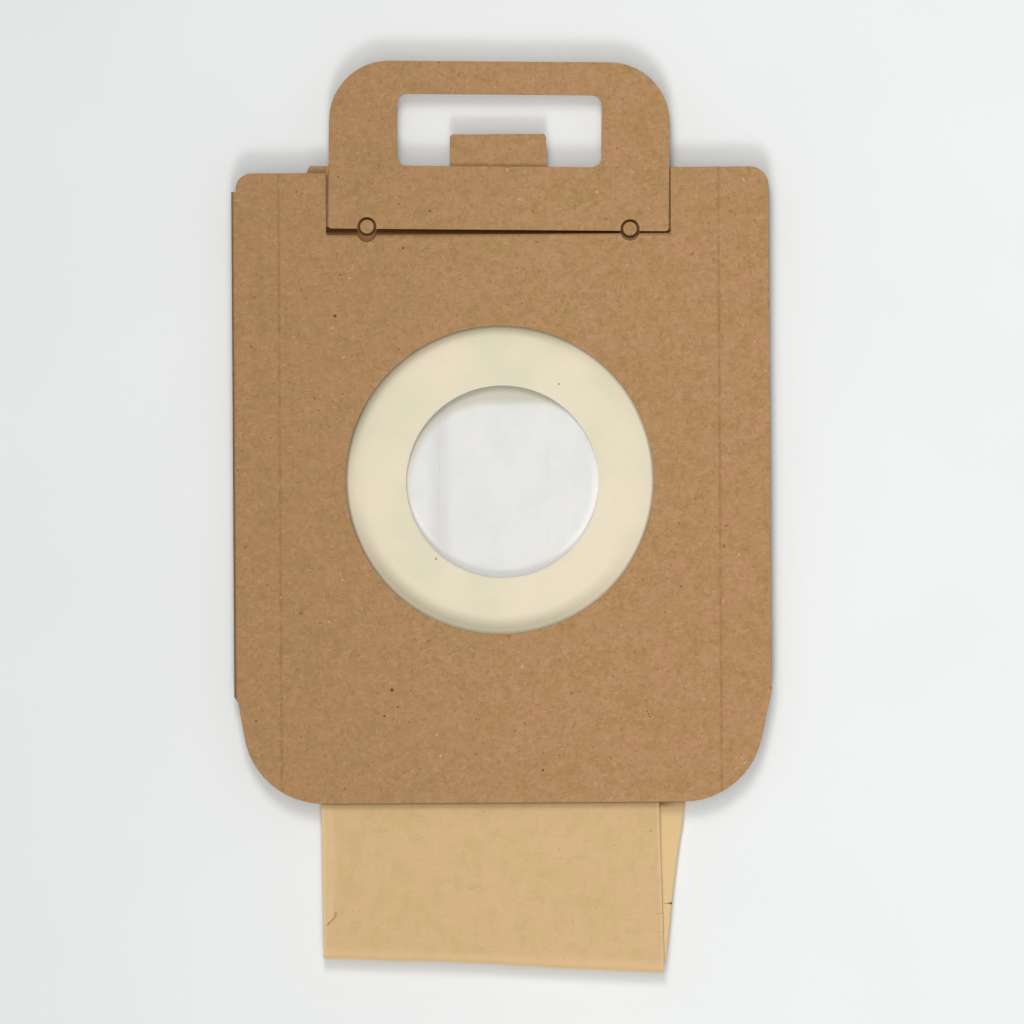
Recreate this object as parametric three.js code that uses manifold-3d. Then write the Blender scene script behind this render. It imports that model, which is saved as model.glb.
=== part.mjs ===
import * as THREE from 'three';
import { mergeVertices } from 'three/addons/utils/BufferGeometryUtils.js';
import Module from 'manifold-3d';

// Dust bag for a vacuum cleaner, folded flat and lying on its paper, inlet side up.
// A board collar, folded double at its left edge, clamps a rubber seal between its two panels.
// A gusseted paper tube is glued under the collar, comes out below it and is folded back once.
// Millimetres. The collar is drawn round the centre of its inlet: +X right, +Y to the handle, +Z up.

const wasm = await Module();
wasm.setup();

// Board: one sheet for both panels, and the same sheet for the handle and the two tacks
const boardThickness = 1.2;

// Front panel, measured from the centre of the inlet
const collarLeft = 66.8;
const collarRight = 67.6;
const collarBottom = 80.7;
const rightShoulder = 78;
const leftShoulder = 77;
const topLeftRadius = 4;
const topRightRadius = 4.7;
const bottomRadius = 20;
const taperStart = 53;
const taperRadius = 6;
const leftTaper = THREE.MathUtils.degToRad(7.7);
const rightTaper = THREE.MathUtils.degToRad(12.2);
const inletRadius = 38.6;

// Scored lines down both sides of the front panel
const scoreFromCentre = 55;
const scoreWidth = 0.7;
const scoreDepth = 0.15;

// Fold at the left edge: it stops short of both corners, which are cut back behind it
const foldTop = 72.4;
const foldBottom = -53.9;
const cornerRelief = 1.1;
const creaseOverlap = 2;

// Back panel
const backHoleRadius = 31;
const backInset = 0.6;
const backTop = 78.8;
const backTopFall = 1.2;
const backEar = 47.2;
const backEarSlope = 2.7;
const tabWidth = 24.1;
const tabTop = 86.5;
const tabRadius = 0.9;

// Rubber seal, held between the panels and punched a little off centre
const sealThickness = 0.5;
const sealRadius = 45;
const sealHoleRadius = 24.1;
const sealHoleX = 0.65;
const sealHoleY = -0.45;

// Lifting handle, lying in a recess of the front panel and a little askew in it
const handleWidth = 85.2;
const handleHeight = 42.1;
const handleTopRadius = 15;
const handleFootRadius = 0.8;
const handleTurn = THREE.MathUtils.degToRad(-0.8);
const handleRise = 1.05;
const windowWidth = 51.1;
const windowHeight = 18;
const windowBase = 15.85;
const windowRadius = 2.4;
const recessFloor = 61.5;
const recessClearance = 0.5;

// Tacks: a disc punched half in the handle and half in the panel below it
const tackSpacing = 65.8;
const tackRise = 0.55;
const tackPunchRadius = 2.4;
const tackDiscRadius = 1.8;

// Paper: a brown outer ply and a white inner ply, one tube inside the other
const ply = 0.15;
const plyGap = 0.05;
const bagHoleRadius = 29;
const tubeWidth = 84.6;
const gussetDepth = 28.4;
const tubeTop = 73.7;
const tubeCentre = -1.6;
const gluedLean = THREE.MathUtils.degToRad(-0.95);
const freeLean = THREE.MathUtils.degToRad(1);
const endSeam = 8;
const liningSeam = 2;

// Heights of the flattened tube, loose along its runs and pressed at the cross fold
const looseHeight = 2.6;
const looseSlit = 0.3;
const pressedHeight = 1.7;
const pressedSlit = 0.1;
const foldInnerRadius = 0.15;

// Cross fold at the foot of the bag, a little askew, and the part folded back under it
const crossFoldY = -121.2;
const crossFoldSkew = THREE.MathUtils.degToRad(-2.7);
const foldedLength = 172;
const backRelief = 38;

// Facets: how far a flat may stand off a true arc, and the steps of the folds
const arcTolerance = 0.04;
const plyArcSteps = 3;
const crossFoldSteps = 6;
const reliefSteps = 4;

// Levels of the stack, from the surface that the bag lies on
const runGap = 2 * foldInnerRadius;
const upperRunBase = looseHeight + runGap;
const backPanelBase = upperRunBase + looseHeight;
const sealBase = backPanelBase + boardThickness;
const frontPanelBase = sealBase + sealThickness;
const collarTop = frontPanelBase + boardThickness;
const cutAllowance = 1;

const boardMaterial = new THREE.MeshStandardMaterial({ color: 0xae885f, roughness: 0.9, metalness: 0 });
const handleMaterial = new THREE.MeshStandardMaterial({ color: 0xad885f, roughness: 0.9, metalness: 0 });
const sealMaterial = new THREE.MeshStandardMaterial({ color: 0xe5dcc0, roughness: 0.6, metalness: 0 });
const paperMaterial = new THREE.MeshStandardMaterial({ color: 0xd2b184, roughness: 0.85, metalness: 0 });
const liningMaterial = new THREE.MeshStandardMaterial({ color: 0xe7e8e3, roughness: 0.9, metalness: 0 });

function arcSteps(radius, angle) {
  const step = 2 * Math.acos(1 - arcTolerance / Math.max(radius, 2 * arcTolerance));
  return Math.max(2, Math.ceil(Math.abs(angle) / step));
}

// Points of an arc from one angle to another, both ends included
function arc(centreX, centreY, radius, from, to, steps) {
  const points = [];
  for (let k = 0; k <= steps; k++) {
    const angle = from + (to - from) * k / steps;
    points.push(new THREE.Vector2(centreX + radius * Math.cos(angle), centreY + radius * Math.sin(angle)));
  }
  return points;
}

function circle(centreX, centreY, radius) {
  const points = arc(centreX, centreY, radius, 0, 2 * Math.PI, arcSteps(radius, 2 * Math.PI));
  points.pop();
  return points;
}

// Closed outline through [x, y, radius] corners, each rounded by an arc of its own radius
function roundedOutline(corners) {
  const points = [];
  corners.forEach(([x, y, radius], index) => {
    const corner = new THREE.Vector2(x, y);
    if (!radius) {
      points.push(corner);
      return;
    }
    const before = corners[(index + corners.length - 1) % corners.length];
    const after = corners[(index + 1) % corners.length];
    const toBefore = new THREE.Vector2(before[0], before[1]).sub(corner).normalize();
    const toAfter = new THREE.Vector2(after[0], after[1]).sub(corner).normalize();
    const half = Math.acos(toBefore.dot(toAfter)) / 2;
    const centre = toBefore.clone().add(toAfter).normalize();
    centre.multiplyScalar(radius / Math.sin(half)).add(corner);
    const tangent = radius / Math.tan(half);
    const start = toBefore.multiplyScalar(tangent).add(corner).sub(centre);
    const end = toAfter.multiplyScalar(tangent).add(corner).sub(centre);
    const turn = Math.atan2(start.cross(end), start.dot(end));
    const from = start.angle();
    points.push(...arc(centre.x, centre.y, radius, from, from + turn, arcSteps(radius, turn)));
  });
  return points;
}

// Flat plate of one outline, with holes, standing on a level
function plate(outline, holes, base, thickness) {
  const shape = new THREE.Shape(outline);
  shape.holes = holes.map((hole) => new THREE.Path(hole));
  const geometry = new THREE.ExtrudeGeometry(shape, { depth: thickness, bevelEnabled: false });
  return geometry.translate(0, 0, base);
}

// Bar along Y between two places, with its section drawn in X and Z
function barAlongY(section, fromY, toY) {
  const shape = new THREE.Shape(section);
  const geometry = new THREE.ExtrudeGeometry(shape, { depth: toY - fromY, bevelEnabled: false });
  return geometry.rotateX(Math.PI / 2).translate(0, toY, 0);
}

function solid(geometry) {
  const bare = geometry.clone();
  bare.deleteAttribute('normal');
  bare.deleteAttribute('uv');
  const merged = mergeVertices(bare, 1e-4);
  const vertProperties = new Float32Array(merged.attributes.position.array);
  const triVerts = new Uint32Array(merged.index.array);
  return new wasm.Manifold(new wasm.Mesh({ numProp: 3, vertProperties, triVerts }));
}

function named(name, body, material) {
  const { vertProperties, triVerts } = body.getMesh();
  const geometry = new THREE.BufferGeometry();
  geometry.setAttribute('position', new THREE.BufferAttribute(vertProperties, 3));
  geometry.setIndex(new THREE.BufferAttribute(triVerts, 1));
  geometry.computeVertexNormals();
  const mesh = new THREE.Mesh(geometry, material);
  mesh.name = name;
  return mesh;
}

// Outline of both panels below the shoulders: tapered sides and two large bottom corners
function panelFoot(inset) {
  const bottom = inset - collarBottom;
  const left = cornerRelief + inset - collarLeft;
  const right = collarRight - inset;
  const drop = collarBottom - taperStart;
  return [
    [left, foldBottom, 0],
    [left, -taperStart - cornerRelief, 0],
    [left + drop * Math.tan(leftTaper), bottom, bottomRadius],
    [right - drop * Math.tan(rightTaper), bottom, bottomRadius],
    [right, -taperStart, taperRadius],
  ];
}

// Collar: front panel, crushed fold at the left edge and back panel, all of one board
function collarBoard() {
  const panelLeft = cornerRelief - collarLeft;
  const recessSide = handleWidth / 2 + recessClearance;
  const frontOutline = roundedOutline([
    ...panelFoot(0),
    [collarRight, rightShoulder, topRightRadius],
    [recessSide, rightShoulder, 0],
    [recessSide, recessFloor, handleFootRadius],
    [-recessSide, recessFloor, handleFootRadius],
    [-recessSide, leftShoulder, 0],
    [panelLeft, leftShoulder, topLeftRadius],
  ]);
  const backLeft = panelLeft + backInset;
  const backOutline = roundedOutline([
    ...panelFoot(backInset),
    [collarRight - backInset, backTop - backTopFall, topRightRadius],
    [tabWidth / 2, backTop - backTopFall / 2, 0],
    [tabWidth / 2, tabTop, tabRadius],
    [-tabWidth / 2, tabTop, tabRadius],
    [-tabWidth / 2, backTop - backTopFall / 2, 0],
    [-backEar, backTop, 0],
    [-backEar - backEarSlope, foldTop, 0],
    [backLeft, foldTop, 0],
  ]);
  const front = plate(frontOutline, [circle(0, 0, inletRadius)], frontPanelBase, boardThickness);
  const back = plate(backOutline, [circle(0, 0, backHoleRadius)], backPanelBase, boardThickness);

  // The crease is a half ellipse outside and a pinched one inside, with flats that run into both panels
  const middle = (backPanelBase + collarTop) / 2;
  const halfHeight = (collarTop - backPanelBase) / 2;
  const halfGap = halfHeight - boardThickness;
  const steps = arcSteps(halfHeight, Math.PI);
  const crease = [];
  crease.push(new THREE.Vector2(panelLeft + creaseOverlap, middle + halfHeight));
  for (const point of arc(0, 0, 1, Math.PI / 2, 3 * Math.PI / 2, steps)) {
    crease.push(new THREE.Vector2(panelLeft + point.x * cornerRelief, middle + point.y * halfHeight));
  }
  crease.push(new THREE.Vector2(panelLeft + creaseOverlap, middle - halfHeight));
  crease.push(new THREE.Vector2(panelLeft + creaseOverlap, middle - halfGap));
  crease.push(new THREE.Vector2(panelLeft, middle - halfGap));
  crease.push(new THREE.Vector2(panelLeft, middle + halfGap));
  crease.push(new THREE.Vector2(panelLeft + creaseOverlap, middle + halfGap));
  let board = solid(front).add(solid(barAlongY(crease, foldBottom, foldTop))).add(solid(back));

  // Scored lines are shallow grooves that run off both ends of the panel
  for (const side of [-1, 1]) {
    const groove = [
      new THREE.Vector2(side * scoreFromCentre, collarTop - scoreDepth),
      new THREE.Vector2(side * scoreFromCentre + scoreWidth, collarTop + scoreDepth),
      new THREE.Vector2(side * scoreFromCentre - scoreWidth, collarTop + scoreDepth),
    ];
    const run = collarBottom + cutAllowance;
    board = board.subtract(solid(barAlongY(groove, -run, run)));
  }

  // Each tack's punch leaves a notch in the floor of the recess
  for (const side of [-1, 1]) {
    const punch = circle(side * tackSpacing / 2, recessFloor + tackRise, tackPunchRadius);
    board = board.subtract(solid(plate(punch, [], frontPanelBase, boardThickness + cutAllowance)));
  }
  return named('collar_board', board, boardMaterial);
}

// Handle: drawn round the middle of its foot and glued to the back panel by its lower strip
function liftingHandle() {
  const half = handleWidth / 2;
  const outline = roundedOutline([
    [-half, 0, handleFootRadius],
    [half, 0, handleFootRadius],
    [half, handleHeight, handleTopRadius],
    [-half, handleHeight, handleTopRadius],
  ]);
  const window = roundedOutline([
    [-windowWidth / 2, windowBase, windowRadius],
    [windowWidth / 2, windowBase, windowRadius],
    [windowWidth / 2, windowBase + windowHeight, windowRadius],
    [-windowWidth / 2, windowBase + windowHeight, windowRadius],
  ]);
  let body = solid(plate(outline, [window], sealBase, boardThickness));
  for (const side of [-1, 1]) {
    const punch = circle(side * tackSpacing / 2, tackRise, tackPunchRadius);
    body = body.subtract(solid(plate(punch, [], sealBase - cutAllowance, boardThickness + 2 * cutAllowance)));
  }
  return named('lifting_handle', body, handleMaterial);
}

// Tack: the disc left standing in its punched hole, glued to the back panel under it
function tackDisc(name, side) {
  const disc = circle(side * tackSpacing / 2, tackRise, tackDiscRadius);
  return named(name, solid(plate(disc, [], sealBase, boardThickness)), handleMaterial);
}

// Seal: a flat rubber ring whose rim is clamped between the panels
function sealingMembrane() {
  const hole = circle(sealHoleX, sealHoleY, sealHoleRadius);
  return named('sealing_membrane', solid(plate(circle(0, 0, sealRadius), [hole], sealBase, sealThickness)), sealMaterial);
}

// Section of the flattened tube: two walls and a gusset folded in from each side
// The inset runs inwards from the outside of the paper, so that plies nest in each other
function tubeSection(inset, height, slit) {
  const fold = (height - slit) / 4;
  const wallRadius = fold - inset;
  const tipRadius = slit / 2 + inset;
  const tip = gussetDepth - slit / 2;
  const quarter = Math.PI / 2;
  return [
    ...arc(tubeWidth - fold, fold, wallRadius, -quarter, quarter, plyArcSteps),
    ...arc(tubeWidth - tip, height / 2, tipRadius, -quarter, -3 * quarter, plyArcSteps),
    ...arc(tubeWidth - fold, height - fold, wallRadius, -quarter, quarter, plyArcSteps),
    ...arc(fold, height - fold, wallRadius, quarter, 3 * quarter, plyArcSteps),
    ...arc(tip, height / 2, tipRadius, quarter, -quarter, plyArcSteps),
    ...arc(fold, fold, wallRadius, quarter, 3 * quarter, plyArcSteps),
  ];
}

// Stations along the tube, from its top end over the cross fold to its folded-back end
// Each has the middle of the wall that faces the fold, the tube's direction across, its way up and its height
function tubeStations(endInset) {
  const { lerp, smoothstep } = THREE.MathUtils;
  const up = new THREE.Vector3(0, 0, 1);
  const across = (angle) => new THREE.Vector3(Math.cos(angle), Math.sin(angle), 0);
  const stations = [];

  const axisHeight = pressedHeight + foldInnerRadius;
  const axisY = crossFoldY + axisHeight;
  const gluedFoot = tubeCentre - collarBottom * Math.tan(-gluedLean);
  const axisX = gluedFoot + (-collarBottom - axisY) * Math.tan(freeLean);
  const axis = new THREE.Vector3(axisX, axisY, axisHeight);

  // Glued run under the collar
  for (const y of [tubeTop - endInset, -collarBottom]) {
    const centre = new THREE.Vector3(tubeCentre + y * Math.tan(-gluedLean), y, upperRunBase);
    stations.push({ centre, across: across(0), up, height: looseHeight, slit: looseSlit });
  }
  // Free run, sinking from the collar to the pressed fold
  for (let k = 1; k < reliefSteps; k++) {
    const part = k / reliefSteps;
    const press = smoothstep(part, 0, 1);
    const centre = new THREE.Vector3(
      lerp(gluedFoot, axisX, part),
      lerp(-collarBottom, axisY, part),
      lerp(upperRunBase, axisHeight + foldInnerRadius, press),
    );
    stations.push({
      centre,
      across: across(crossFoldSkew * part),
      up,
      height: lerp(looseHeight, pressedHeight, press),
      slit: lerp(looseSlit, pressedSlit, press),
    });
  }
  // Cross fold, a half turn about its own line
  const foldLine = across(crossFoldSkew);
  const outward = new THREE.Vector3(foldLine.y, -foldLine.x, 0);
  for (let k = 0; k <= crossFoldSteps; k++) {
    const turn = Math.PI * k / crossFoldSteps;
    const away = up.clone().multiplyScalar(Math.cos(turn)).addScaledVector(outward, Math.sin(turn));
    stations.push({
      centre: axis.clone().addScaledVector(away, foldInnerRadius),
      across: foldLine,
      up: away,
      height: pressedHeight,
      slit: pressedSlit,
    });
  }
  // Folded-back run: the free run's direction mirrored in the fold line
  const down = new THREE.Vector3(Math.sin(freeLean), -Math.cos(freeLean), 0);
  const back = foldLine.clone().multiplyScalar(2 * down.dot(foldLine)).sub(down);
  const squareAngle = Math.atan2(-back.x, back.y);
  const places = [];
  for (let k = 1; k <= reliefSteps; k++) {
    places.push(backRelief * k / reliefSteps);
  }
  places.push(foldedLength - endInset);
  for (const place of places) {
    const part = Math.min(1, place / backRelief);
    const press = smoothstep(part, 0, 1);
    const height = lerp(pressedHeight, looseHeight, press);
    const centre = axis.clone().addScaledVector(back, place);
    centre.z = height;
    stations.push({
      centre,
      across: across(lerp(crossFoldSkew, squareAngle, part)),
      up: up.clone().negate(),
      height,
      slit: lerp(pressedSlit, looseSlit, press),
    });
  }
  return stations;
}

// Closed body of the tube at one inset of its section, shorter at both ends by the end inset
function tubeBody(inset, endInset) {
  const positions = [];
  const triangles = [];
  const stations = tubeStations(endInset);
  let count = 0;
  for (const { centre, across, up, height, slit } of stations) {
    const section = tubeSection(inset, height, slit);
    count = section.length;
    for (const point of section) {
      const place = centre.clone().addScaledVector(across, point.x - tubeWidth / 2).addScaledVector(up, point.y);
      positions.push(place.x, place.y, place.z);
    }
  }
  for (let row = 0; row < stations.length - 1; row++) {
    for (let k = 0; k < count; k++) {
      const a = row * count + k;
      const b = row * count + (k + 1) % count;
      triangles.push(a, b, b + count, a, b + count, a + count);
    }
  }
  const last = (stations.length - 1) * count;
  const section = tubeSection(inset, looseHeight, looseSlit);
  for (const [a, b, c] of THREE.ShapeUtils.triangulateShape(section, [])) {
    triangles.push(a, c, b);
    triangles.push(last + a, last + b, last + c);
  }
  const geometry = new THREE.BufferGeometry();
  geometry.setAttribute('position', new THREE.Float32BufferAttribute(positions, 3));
  geometry.setIndex(triangles);
  return solid(geometry);
}

// One ply of the bag: a closed tube, hollow inside, with the inlet cut through its front wall only
function bagPly(name, inset, ends, seam, material) {
  const bore = circle(0, 0, bagHoleRadius);
  const wallDepth = 2 * ply + plyGap;
  const looseGap = (looseHeight - looseSlit) / 2 - 2 * wallDepth;
  const floor = backPanelBase - wallDepth - looseGap / 2;
  const punch = solid(plate(bore, [], floor, backPanelBase - floor + cutAllowance));
  const body = tubeBody(inset, ends).subtract(tubeBody(inset + ply, ends + seam)).subtract(punch);
  return named(name, body, material);
}

const collar = new THREE.Group();
collar.add(collarBoard());
collar.add(sealingMembrane());

const handle = new THREE.Group();
handle.position.set(0, recessFloor + handleRise, 0);
handle.rotation.z = handleTurn;
handle.add(liftingHandle());
handle.add(tackDisc('tack_disc_left', -1));
handle.add(tackDisc('tack_disc_right', 1));

const bag = new THREE.Group();
bag.add(bagPly('paper_bag', 0, 0, endSeam, paperMaterial));
bag.add(bagPly('bag_lining', ply + plyGap, endSeam + plyGap, liningSeam, liningMaterial));

// The whole stands with the middle of its underside at the origin
const dustBag = new THREE.Group();
dustBag.add(collar, handle, bag);
const reach = new THREE.Box3().setFromObject(dustBag, true);
dustBag.position.set(-(reach.min.x + reach.max.x) / 2, -(reach.min.y + reach.max.y) / 2, -reach.min.z);

export default dustBag;
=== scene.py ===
import math

import bmesh
import bpy
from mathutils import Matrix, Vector, noise


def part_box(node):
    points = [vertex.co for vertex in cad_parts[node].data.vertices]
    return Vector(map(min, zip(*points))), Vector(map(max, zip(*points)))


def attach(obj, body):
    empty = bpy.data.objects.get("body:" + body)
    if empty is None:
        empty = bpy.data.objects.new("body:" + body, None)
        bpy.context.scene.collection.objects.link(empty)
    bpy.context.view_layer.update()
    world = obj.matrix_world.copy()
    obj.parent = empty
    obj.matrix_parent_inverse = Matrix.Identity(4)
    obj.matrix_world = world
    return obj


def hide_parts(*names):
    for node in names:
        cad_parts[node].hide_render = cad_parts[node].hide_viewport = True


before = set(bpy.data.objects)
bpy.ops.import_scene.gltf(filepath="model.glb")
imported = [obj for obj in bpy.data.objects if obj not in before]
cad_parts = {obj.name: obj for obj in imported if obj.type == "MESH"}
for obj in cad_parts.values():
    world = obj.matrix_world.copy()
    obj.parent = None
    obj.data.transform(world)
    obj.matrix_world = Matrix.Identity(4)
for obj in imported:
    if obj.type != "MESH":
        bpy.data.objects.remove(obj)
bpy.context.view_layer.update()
mm = 0.001

# Camera
# It hangs straight above the folded bag with a long lens, rolled a little because the bag lay askew.
# The picture is 256 mm wide at the collar's face.
picture_width = 256 * mm
picture_pixels = 1024
picture_middle = (2.54 * mm, 1.05 * mm)
camera_distance = 3000 * mm
camera_roll = math.radians(-0.35)
sensor_width = 36
collar_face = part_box("collar_board")[1][2]
camera_data = bpy.data.cameras.new("camera")
camera_data.sensor_width = sensor_width
camera_data.lens = sensor_width * camera_distance / picture_width
camera = bpy.data.objects.new("camera", camera_data)
camera.location = (*picture_middle, collar_face + camera_distance)
camera.rotation_euler = (0, 0, camera_roll)
bpy.context.collection.objects.link(camera)
bpy.context.scene.camera = camera

# Collar
# One sheet of unbleached board, die cut, scored and folded double at its left edge.
# Its die-cut rims are rounded over by the knife, and its face shows the fibres of recycled pulp.


class Value:
    """A number worked out over a surface, so that the maths of a finish reads as sums."""

    def __init__(self, finish, socket):
        self.finish = finish
        self.socket = socket

    def other(self, output):
        """Another output of the same node."""
        return Value(self.finish, self.socket.node.outputs[output])

    def maths(self, operation, *values):
        return self.finish.node("ShaderNodeMath", {"operation": operation}, values)

    def __add__(self, other):
        return self.maths("ADD", self, other)

    def __radd__(self, other):
        return self.maths("ADD", other, self)

    def __sub__(self, other):
        return self.maths("SUBTRACT", self, other)

    def __rsub__(self, other):
        return self.maths("SUBTRACT", other, self)

    def __mul__(self, other):
        return self.maths("MULTIPLY", self, other)

    def __rmul__(self, other):
        return self.maths("MULTIPLY", other, self)

    def __lt__(self, other):
        return self.maths("LESS_THAN", self, other)

    def __abs__(self):
        return self.maths("ABSOLUTE", self)

    def larger(self, other):
        return self.maths("MAXIMUM", self, other)

    def to(self, x, y):
        """How far a place is from the upright line through (x, y), where this value is the place's x."""
        away_x = self - x
        away_y = self.other("Y") - y
        return (away_x * away_x + away_y * away_y).root()

    def root(self):
        return self.maths("SQRT", self)

    def rise(self, low, high):
        """0 below low, 1 above high and smooth between them. It falls where low is above high."""
        limits = {"Value": self, "From Min": low, "From Max": high}
        return self.finish.node("ShaderNodeMapRange", {"interpolation_type": "SMOOTHSTEP"}, limits)


class Finish:
    """The material of one piece, and the one way of adding a node to it."""

    def __init__(self, name):
        self.material = bpy.data.materials.new(name)
        self.material.use_nodes = True
        self.tree = self.material.node_tree
        self.shader = self.tree.nodes["Principled BSDF"]
        self.place = self.node("ShaderNodeTexCoord", output="Object")
        self.across = self.node("ShaderNodeSeparateXYZ", {}, [self.place], "X")
        self.along = self.across.other("Y")
        self.level = self.across.other("Z")
        self.bent = self.place

    def node(self, kind, settings=None, sockets=(), output=0):
        made = self.tree.nodes.new(kind)
        for name, setting in (settings or {}).items():
            setattr(made, name, setting)
        pairs = sockets.items() if isinstance(sockets, dict) else enumerate(sockets)
        for key, given in pairs:
            self.set(made.inputs[key], given)
        return Value(self, made.outputs[output])

    def set(self, socket, given):
        if isinstance(given, Value):
            self.tree.links.new(given.socket, socket)
        else:
            socket.default_value = given

    def noise(self, size, detail=2, rough=0.5, shift=0):
        """A cloudy pattern from 0 to 1, with patches of about one size."""
        sockets = {"Vector": self.place, "Location": (shift, shift, shift)}
        moved = self.node("ShaderNodeMapping", {}, sockets)
        sockets = {"Vector": moved, "Scale": 1 / size, "Detail": detail, "Roughness": rough}
        return self.node("ShaderNodeTexNoise", {}, sockets)

    def tint(self, share, below, above):
        """The colour below, mixed towards the colour above by a share."""
        settings = {"data_type": "RGBA", "clamp_factor": True}
        return self.node("ShaderNodeMix", settings, {0: share, 6: below, 7: above}, 2)

    def bend_fibres(self, size, reach):
        """From here on a cloudy pattern pushes the cells about, so that the fibres in them are curved."""
        sockets = {"Vector": self.place, "Scale": 1 / size, "Detail": 1}
        cloud = self.node("ShaderNodeTexNoise", {}, sockets, "Color")
        push = self.node("ShaderNodeVectorMath", {"operation": "SUBTRACT"}, [cloud, (0.5, 0.5, 0.5)])
        sockets = {0: push, 1: (reach, reach, 0), 2: self.place}
        self.bent = self.node("ShaderNodeVectorMath", {"operation": "MULTIPLY_ADD"}, sockets)

    def cells(self, angle, length, width, shift):
        """Long cells at one angle: how far a place is from its cell's middle, and a chance for each cell."""
        sockets = {
            "Vector": self.bent,
            "Location": (shift, shift, 0),
            "Rotation": (0, 0, angle),
            "Scale": (length, width, 1),
        }
        turned = self.node("ShaderNodeMapping", {"vector_type": "TEXTURE"}, sockets)
        settings = {"voronoi_dimensions": "2D"}
        away = self.node("ShaderNodeTexVoronoi", settings, {"Vector": turned, "Scale": 1})
        chance = self.node("ShaderNodeSeparateColor", {}, [away.other("Color")])
        return away, chance

    def flecks(self, angle, length, width, share, shift):
        """Short straight fibres that lie at one angle, one in a share of the cells."""
        away, chance = self.cells(angle, length, width, shift)
        return away.rise(0.42, 0.06) * (chance < share)

    def specks(self, spacing, size, share, shift):
        """Round specks of many sizes, one in a share of the cells."""
        away, chance = self.cells(0.5, spacing, spacing, shift)
        radius = chance.other("Green") * 0.7 + 0.3
        return (away - radius * (size / spacing)).rise(0, -0.3 * size / spacing) * (chance < share)

    def curls(self, size, shift):
        """Fine curled fibres: the level lines of a cloudy pattern, broken up by a second one."""
        broken = self.noise(size * 1.1, 1, 0.5, shift + 3).rise(0.5, 0.62)
        return abs(self.noise(size, 1, 0.5, shift) - 0.5).rise(0.05, 0.012) * broken

    def flatness(self):
        """1 where the surface lies flat, 0 where it stands upright."""
        normal = self.node("ShaderNodeNewGeometry", output="Normal")
        return abs(self.node("ShaderNodeSeparateXYZ", {}, [normal], "Z"))

    def spots(self, marks):
        """Single marks, each an (x, y, radius) in the frame of the bag."""
        mask = None
        for x, y, radius in marks:
            spot = self.across.to(x, y).rise(radius, radius * 0.4)
            mask = spot if mask is None else mask.larger(spot)
        return mask

    def paint(self, color, roughness, height, relief):
        """Gives the surface its colour and roughness, and a bump of one depth over its height from 0 to 1."""
        self.set(self.shader.inputs["Base Color"], color)
        self.set(self.shader.inputs["Roughness"], roughness)
        bump = self.node("ShaderNodeBump", {}, {"Strength": 1, "Distance": relief, "Height": height})
        self.set(self.shader.inputs["Normal"], bump)


def shade(red, green, blue):
    """A colour as it is seen on a screen, from 0 to 255, turned into the linear light of a shader."""
    linear = []
    for part in (red, green, blue):
        part /= 255
        linear.append(part / 12.92 if part <= 0.04045 else ((part + 0.055) / 1.055) ** 2.4)
    return (*linear, 1)


def photo_place(x, y):
    """Where a pixel of the photograph lies on the collar's face, in the frame of the bag."""
    side = picture_width / picture_pixels
    across = (x - picture_pixels / 2) * side
    along = (picture_pixels / 2 - y) * side
    turn_x = across * math.cos(camera_roll) - along * math.sin(camera_roll)
    turn_y = across * math.sin(camera_roll) + along * math.cos(camera_roll)
    return camera.location.x + turn_x, camera.location.y + turn_y


def photo_stroke(start, end, radius, count):
    """A short line between two pixels of the photograph, as a row of round marks."""
    marks = []
    for k in range(count):
        x = start[0] + (end[0] - start[0]) * k / (count - 1)
        y = start[1] + (end[1] - start[1]) * k / (count - 1)
        marks.append((*photo_place(x, y), radius))
    return marks


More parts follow.
